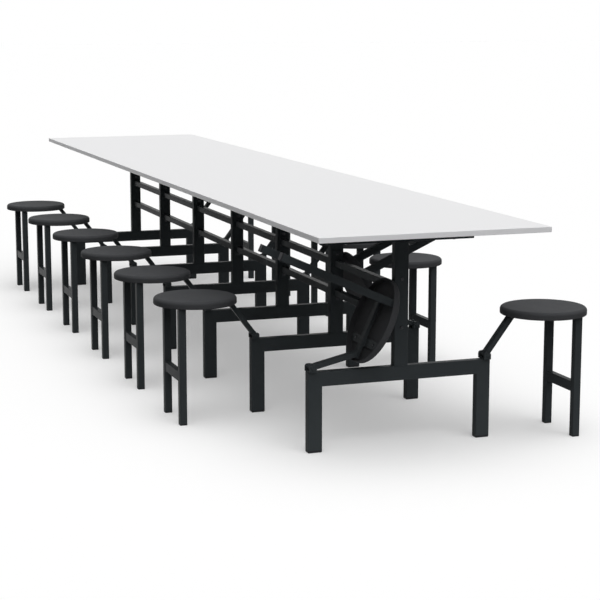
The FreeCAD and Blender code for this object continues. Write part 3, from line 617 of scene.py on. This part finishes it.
def seat_shell():
    """A moulded seat turned about its own axis: a top dished by a squared cosine, a round edge, a deep rim
    and a filleted recess, with four bosses and a sprue mark on the underside."""
    flat = SEAT_RADIUS - EDGE_ROUND
    inner = SEAT_RADIUS - RIM_WALL
    ceiling = SEAT_TOP - SEAT_SKIN
    sprue_end = ceiling - BEVEL
    radius = np.linspace(0, flat, DISH_RINGS + 1)[:-1]
    dish = SEAT_DISH * np.cos(radius / flat * math.pi / 2) ** 2
    profile = np.concatenate([
        np.stack([radius, SEAT_TOP - dish], axis=1),
        arc((flat, SEAT_TOP - EDGE_ROUND), EDGE_ROUND, 90, 0, EDGE_STEPS),
        arc((SEAT_RADIUS - RIM_ROUND, BAR_BASE + RIM_ROUND), RIM_ROUND, 0, -90, RIM_STEPS),
        arc((inner + LIP_ROUND, BAR_BASE + LIP_ROUND), LIP_ROUND, -90, -180, RIM_STEPS),
        arc((inner - RECESS_ROUND, ceiling - RECESS_ROUND), RECESS_ROUND, 0, 90, RECESS_STEPS),
        [(SPRUE_RADIUS, ceiling), (SPRUE_RADIUS * SPRUE_END_SHARE, sprue_end), (0, sprue_end)]])
    shell = moved(lathe(profile, SEAT_SIDES), (0, SEAT_OUT, 0))
    boss = lathe([(0, BOSS_TALL + BEVEL), (BOSS_RADIUS + BOSS_FLARE, BOSS_TALL),
                  (BOSS_RADIUS, BOSS_TALL - BOSS_FLARE), (BOSS_RADIUS, BEVEL),
                  (BOSS_RADIUS - BEVEL, 0), (0, 0)])
    return join(shell, *[moved(boss, (x, out, ceiling - BOSS_TALL)) for x, out, _ in SEAT_SCREWS])


def stool_plastics():
    """A tip under each leg and a bush flange on each side of the knuckle."""
    tip = stack(rounded_rectangle(STOOL_TUBE, STOOL_TUBE, STOOL_ROUND), round_levels(TIP_TALL, TIP_ROUND))
    flange = lathe([(PIN_RADIUS, 0), (BUSH_RADIUS, 0), (BUSH_RADIUS, BUSH_THICK - BEVEL / 2),
                    (BUSH_RADIUS - BEVEL / 2, BUSH_THICK), (PIN_RADIUS, BUSH_THICK)], loop=True)
    parts = []
    for side, facing in ((-1, TO_MINUS_X), (1, TO_PLUS_X)):
        parts.append(moved(tip, (side * LEG_SPREAD, STOOL_LEG_OUT, 0)))
        parts.append(moved(flange, HINGE + side * X * KNUCKLE_LENGTH / 2, facing))
    return join(*parts)


def at_stool(part, body):
    """A lowered stool's piece at its own place: turned to its side of the table, and about its hinge where
    the stool rests folded, which is where its joint's range ends at 0."""
    joint = JOINTS[body]
    side = np.eye(3) if joint["axis"][0] > 0 else HALF_TURN
    fold = turned(joint["axis"], math.radians(-joint["range_deg"][0]))
    return moved(moved(part, -HINGE), joint["pos_m"], fold @ side)


# Materials

# Noise of a finish: octaves and falloff of its patches, the stretch of their values that the roughness
# follows, and octaves of its grain
PATCH_DETAIL = 3.0
PATCH_FALLOFF = 0.6
PATCH_LOW, PATCH_HIGH = 0.3, 0.7
GRAIN_DETAIL = 2.0


def linear(hex_code):
    """An sRGB hex colour as linear red, green, blue and alpha, by the sRGB curve: a straight line near black
    and a power above it."""
    value = np.array([int(hex_code[place:place + 2], 16) for place in (1, 3, 5)]) / 255
    value = np.where(value <= 0.04045, value / 12.92, ((value + 0.055) / 1.055) ** 2.4)
    return (*value.tolist(), 1.0)


def add(tree, kind, inputs=None, **settings):
    """A node with its settings, and its inputs set to values or linked to sockets."""
    node = tree.nodes.new(kind)
    for name, value in settings.items():
        setattr(node, name, value)
    for name, value in (inputs or {}).items():
        if isinstance(value, bpy.types.NodeSocket):
            tree.links.new(value, node.inputs[name])
        else:
            node.inputs[name].default_value = value
    return node


def finish_of(name, dark, light, blotch, rough, grain, relief, specular, metallic=0.0):
    """A finish on Object coordinates: its colour wanders between two near shades over patches of the blotch
    size, its roughness wanders with them between two values, and a fine grain of its own size lifts the
    surface by the relief."""
    material = bpy.data.materials.new(name)
    material.use_nodes = True
    tree = material.node_tree
    tree.nodes.clear()
    place = add(tree, "ShaderNodeTexCoord").outputs["Object"]
    patches = add(tree, "ShaderNodeTexNoise", {
        "Vector": place, "Scale": 1 / blotch, "Detail": PATCH_DETAIL, "Roughness": PATCH_FALLOFF})
    patch = patches.outputs["Fac"]
    shade = add(tree, "ShaderNodeMix", {
        "Factor": patch, "A": linear(dark), "B": linear(light)}, data_type="RGBA")
    gloss = add(tree, "ShaderNodeMapRange", {
        "Value": patch, "From Min": PATCH_LOW, "From Max": PATCH_HIGH,
        "To Min": rough[0], "To Max": rough[1]})
    bumps = add(tree, "ShaderNodeTexNoise", {"Vector": place, "Scale": 1 / grain, "Detail": GRAIN_DETAIL})
    bump = add(tree, "ShaderNodeBump", {"Height": bumps.outputs["Fac"], "Strength": 1.0, "Distance": relief})
    surface = add(tree, "ShaderNodeBsdfPrincipled", {
        "Base Color": shade.outputs["Result"], "Roughness": gloss.outputs["Result"],
        "Normal": bump.outputs["Normal"], "Specular IOR Level": specular, "Metallic": metallic})
    add(tree, "ShaderNodeOutputMaterial", {"Surface": surface.outputs["BSDF"]})
    return material


# Black-grey powder coat baked on steel tube: satin, with a faint orange peel and hardly any colour.
# Its gloss is set far below a real coat's, because the white surround would shine in it at a low angle.
POWDER_COAT = finish_of("powder_coated_steel", "#363a3c", "#3b3f41", blotch=60 * MM, rough=(0.22, 0.28),
                        grain=2.5 * MM, relief=0.015 * MM, specular=0.011)
# Charcoal polypropylene moulded against a fine spark-eroded grain: matt, almost without reflections.
# The grain is drawn several times as coarse as the real one, so that it shows.
SEAT_PLASTIC = finish_of("moulded_polypropylene", "#3f4042", "#444547", blotch=45 * MM, rough=(0.52, 0.58),
                         grain=1.6 * MM, relief=0.02 * MM, specular=0.015)
# Black polyethylene, moulded: the feet, tips, caps and bushes, darker and rougher than the coat beside them.
BLACK_PLASTIC = finish_of("moulded_polyethylene", "#26272a", "#2c2d2f", blotch=30 * MM, rough=(0.5, 0.62),
                          grain=1.2 * MM, relief=0.03 * MM, specular=0.1)
# Pale grey melamine laminate pressed against a pearl-textured plate: satin, almost even in colour.
LAMINATE = finish_of("melamine_laminate", "#e2e2e3", "#e6e6e7", blotch=90 * MM, rough=(0.42, 0.48),
                     grain=3 * MM, relief=0.02 * MM, specular=0.4)
# Off-white ABS edge band, extruded and scraped flush: lighter and a little glossier than the board.
EDGE_BAND = finish_of("abs_edge_band", "#f0f0f2", "#f4f4f6", blotch=50 * MM, rough=(0.36, 0.44),
                      grain=2 * MM, relief=0.02 * MM, specular=0.4)
# Zinc plated steel of the pins and the screws into the board: a dull grey metal, finely crystalline.
ZINC = finish_of("zinc_plated_steel", "#9c9d9c", "#b4b5b3", blotch=8 * MM, rough=(0.32, 0.45),
                 grain=1 * MM, relief=0.02 * MM, specular=0.5, metallic=1.0)
# Blackened steel of the bolts, nuts and seat screws: oiled, nearly black, with a metal's sharper highlight.
BLACK_STEEL = finish_of("blackened_steel", "#2c2d30", "#3a3b3e", blotch=6 * MM, rough=(0.34, 0.46),
                        grain=1 * MM, relief=0.02 * MM, specular=0.5, metallic=0.8)

SLOT_FINISHES = {"laminate_board": LAMINATE, "edge_band": EDGE_BAND, "frame_steel": POWDER_COAT,
                 "stool_steel": POWDER_COAT, "seat_plastic": SEAT_PLASTIC, "black_plastic": BLACK_PLASTIC,
                 "zinc_steel": ZINC, "black_bolts": BLACK_STEEL}


# Pieces

def piece(name, part, slot, body, node):
    """A surface as a scene object: it takes a slot's finish, rides on a body and stands for a node."""
    points, faces = part
    mesh = bpy.data.meshes.new(name)
    mesh.from_pydata(points.tolist(), [], faces)
    shell = bmesh.new()
    shell.from_mesh(mesh)
    bmesh.ops.recalc_face_normals(shell, faces=shell.faces)
    shell.to_mesh(mesh)
    shell.free()
    mesh.shade_smooth()
    mesh.set_sharp_from_angle(angle=math.radians(SHARP_EDGE))
    mesh.materials.append(SLOT_FINISHES[slot])
    made = bpy.data.objects.new(name, mesh)
    bpy.context.scene.collection.objects.link(made)
    made.modifiers.new("flat_faces", "WEIGHTED_NORMAL").keep_sharp = True
    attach(made, body)
    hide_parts(node)


def refinish(node, slot):
    """A solid that keeps its shape takes the finish of its slot."""
    solid = frame["nodes"][node]
    solid.data.materials.clear()
    solid.data.materials.append(SLOT_FINISHES[slot])


welded_trestle = trestle()
for name, x in zip(TRESTLES, TRESTLE_X):
    piece(f"welded_{name}", moved(welded_trestle, (x, 0, 0)), "frame_steel", "table", name)
piece("plastic_feet", at_trestles(trestle_feet()), "black_plastic", "table", "trestle_feet")
piece("bearer_caps", at_trestles(bearer_caps()), "black_plastic", "table", "bearer_end_caps")
piece("pin_caps", at_trestles(pin_caps()), "frame_steel", "table", "hinge_pin_caps")
piece("board_screws", at_trestles(top_screws()), "zinc_steel", "table", "top_screws")
piece("board_edge_band", edge_bands(), "edge_band", "table", "edge_bands")
for name, node in (("rail_tubes_upper", "upper_rails"), ("rail_tubes_lower", "lower_rails")):
    piece(name, rails(*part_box(node)), "frame_steel", "table", node)
piece("rail_plates", end_plates(), "frame_steel", "table", "rail_end_plates")
piece("post_bolts", all_post_bolts(), "black_bolts", "table", "rail_bolts")
refinish("tabletop", "laminate_board")
refinish("hinge_pins", "zinc_steel")

STOOL_KINDS = (("moulded_seat", seat_shell(), "seat_plastic", "seat"),
               ("welded_stool", stool_frame(), "stool_steel", "stool_frame"),
               ("tips_and_bushes", stool_plastics(), "black_plastic", "stool_fittings"),
               ("seat_screws", seat_screws(), "black_bolts", "stool_fittings"))
for body in STOOLS:
    place = body.removeprefix("stool_")
    for kind, part, slot, node in STOOL_KINDS:
        piece(f"{kind}_{place}", at_stool(part, body), slot, body, f"{node}_{place}")


# Floor, light and camera

# Reach and place of the floor, and the painted pool of light: the share of light that the floor scatters back
# near the trestles and far away
FLOOR_REACH = 60.0
FLOOR_DROP = 0.2 * MM
PAINTED_POOL_REACH = 0.6
PAINTED_POOL_BOUNCE = 0.9
PAINTED_FAR_BOUNCE = 0.05

# What is seen directly: the colour of floor and surround, and the share of the floor that glows by itself
SURROUND_SHOWN = "#ffffff"
FLOOR_GLOW = 0.3

# Strength and narrowness of the two soft lights, and the height of the front one in degrees
OVERHEAD_LIGHT = 3.0
OVERHEAD_FOCUS = 10.0
FRONT_LIGHT = 2.6
FRONT_FOCUS = 6.0
FRONT_LIGHT_HEIGHT = 50

# The camera's place, its line of sight in degrees below level and aside from the table's length, and its lens
CAMERA_PLACE = (6.8178, -2.1457, 1.4521)
CAMERA_DOWN = 9.970
CAMERA_ASIDE = 19.659
FOCAL_PIXELS = 1661.85
PHOTO_PIXELS = 600
SENSOR_MM = 36.0
VIEW_REACH = 4 * FLOOR_REACH


def seen_directly(tree):
    """1 where a ray comes from the camera, a reflection or a transparent surface, 0 for scattered light."""
    path = add(tree, "ShaderNodeLightPath")
    either = add(tree, "ShaderNodeMath", {0: path.outputs["Is Camera Ray"], 1: path.outputs["Is Glossy Ray"]},
                 operation="MAXIMUM")
    return add(tree, "ShaderNodeMath", {0: either.outputs[0], 1: path.outputs["Is Transmission Ray"]},
               operation="MAXIMUM").outputs[0]


def studio_floor():
    """A plain pale sheet under the feet. Its colour for scattered light is a painted pool of light about the
    object, which falls off in a straight line with the distance from the trestles, and it is plain white
    where it is seen directly."""
    corners = np.array([(-1, -1, 0), (1, -1, 0), (1, 1, 0), (-1, 1, 0)]) * FLOOR_REACH - FLOOR_DROP * Z
    mesh = bpy.data.meshes.new("studio_floor")
    mesh.from_pydata(corners.tolist(), [], [(0, 1, 2, 3)])
    material = bpy.data.materials.new("white_paper_sweep")
    material.use_nodes = True
    tree = material.node_tree
    tree.nodes.clear()
    place = add(tree, "ShaderNodeTexCoord").outputs["Object"]
    mirrored = add(tree, "ShaderNodeVectorMath", {0: place}, operation="ABSOLUTE").outputs["Vector"]
    beyond = add(tree, "ShaderNodeVectorMath", {0: mirrored, 1: (BOARD_HIGH.x, SPAN_HALF, 0)},
                 operation="SUBTRACT").outputs["Vector"]
    outside = add(tree, "ShaderNodeVectorMath", {0: beyond, 1: (0, 0, 0)},
                  operation="MAXIMUM").outputs["Vector"]
    away = add(tree, "ShaderNodeVectorMath", {0: outside}, operation="LENGTH").outputs["Value"]
    # Painted pool of light: the floor's colour for scattered light is bright near the trestles and dim far
    # away.
    painted_pool = add(tree, "ShaderNodeMapRange", {
        "Value": away, "From Max": PAINTED_POOL_REACH, "To Min": PAINTED_POOL_BOUNCE, "To Max": PAINTED_FAR_BOUNCE})
    seen = seen_directly(tree)
    shade = add(tree, "ShaderNodeMix", {
        "Factor": seen, "A": painted_pool.outputs["Result"], "B": linear(SURROUND_SHOWN)}, data_type="RGBA")
    paper = add(tree, "ShaderNodeBsdfDiffuse", {"Color": shade.outputs["Result"]})
    glow = add(tree, "ShaderNodeEmission", {"Color": linear(SURROUND_SHOWN)})
    share = add(tree, "ShaderNodeMath", {0: seen, 1: FLOOR_GLOW}, operation="MULTIPLY")
    both = add(tree, "ShaderNodeMixShader", {
        0: share.outputs[0], 1: paper.outputs["BSDF"], 2: glow.outputs["Emission"]})
    add(tree, "ShaderNodeOutputMaterial", {"Surface": both.outputs["Shader"]})
    mesh.materials.append(material)
    floor = bpy.data.objects.new("studio_floor", mesh)
    bpy.context.scene.collection.objects.link(floor)


def studio_sky():
    """A white surround for what is seen directly. For scattered light, two broad soft lights, overhead and
    high in front of the near end: each is its strength times the cosine from its middle, to a power."""
    world = bpy.data.worlds.new("studio_sky")
    world.use_nodes = True
    bpy.context.scene.world = world
    tree = world.node_tree
    tree.nodes.clear()
    direction = add(tree, "ShaderNodeTexCoord").outputs["Generated"]
    tilt = math.radians(FRONT_LIGHT_HEIGHT)
    ahead_and_up = math.cos(tilt) * X + math.sin(tilt) * Z
    lights = ((Z, OVERHEAD_LIGHT, OVERHEAD_FOCUS), (ahead_and_up, FRONT_LIGHT, FRONT_FOCUS))
    total = 0.0
    for middle, power, focus in lights:
        facing = add(tree, "ShaderNodeVectorMath", {0: direction, 1: middle.tolist()},
                     operation="DOT_PRODUCT")
        ahead = add(tree, "ShaderNodeMath", {0: facing.outputs["Value"], 1: 0.0}, operation="MAXIMUM")
        lobe = add(tree, "ShaderNodeMath", {0: ahead.outputs[0], 1: focus}, operation="POWER")
        total = add(tree, "ShaderNodeMath", {0: lobe.outputs[0], 1: power, 2: total},
                    operation="MULTIPLY_ADD").outputs[0]
    strength = add(tree, "ShaderNodeMix", {"Factor": seen_directly(tree), "A": total, "B": 1.0})
    sky = add(tree, "ShaderNodeBackground", {
        "Color": linear(SURROUND_SHOWN), "Strength": strength.outputs["Result"]})
    add(tree, "ShaderNodeOutputWorld", {"Surface": sky.outputs["Background"]})


def camera():
    """The photograph's camera, as solved from the table's own edges."""
    lens = bpy.data.cameras.new("photo_camera")
    lens.sensor_width = SENSOR_MM
    lens.lens = FOCAL_PIXELS / PHOTO_PIXELS * SENSOR_MM
    lens.clip_end = VIEW_REACH
    seen = bpy.data.objects.new("photo_camera", lens)
    seen.location = CAMERA_PLACE
    seen.rotation_euler = (math.radians(90 - CAMERA_DOWN), 0, math.radians(90 - CAMERA_ASIDE))
    bpy.context.scene.collection.objects.link(seen)
    bpy.context.scene.camera = seen


studio_floor()
studio_sky()
camera()
bpy.context.scene.view_settings.view_transform = "Standard"
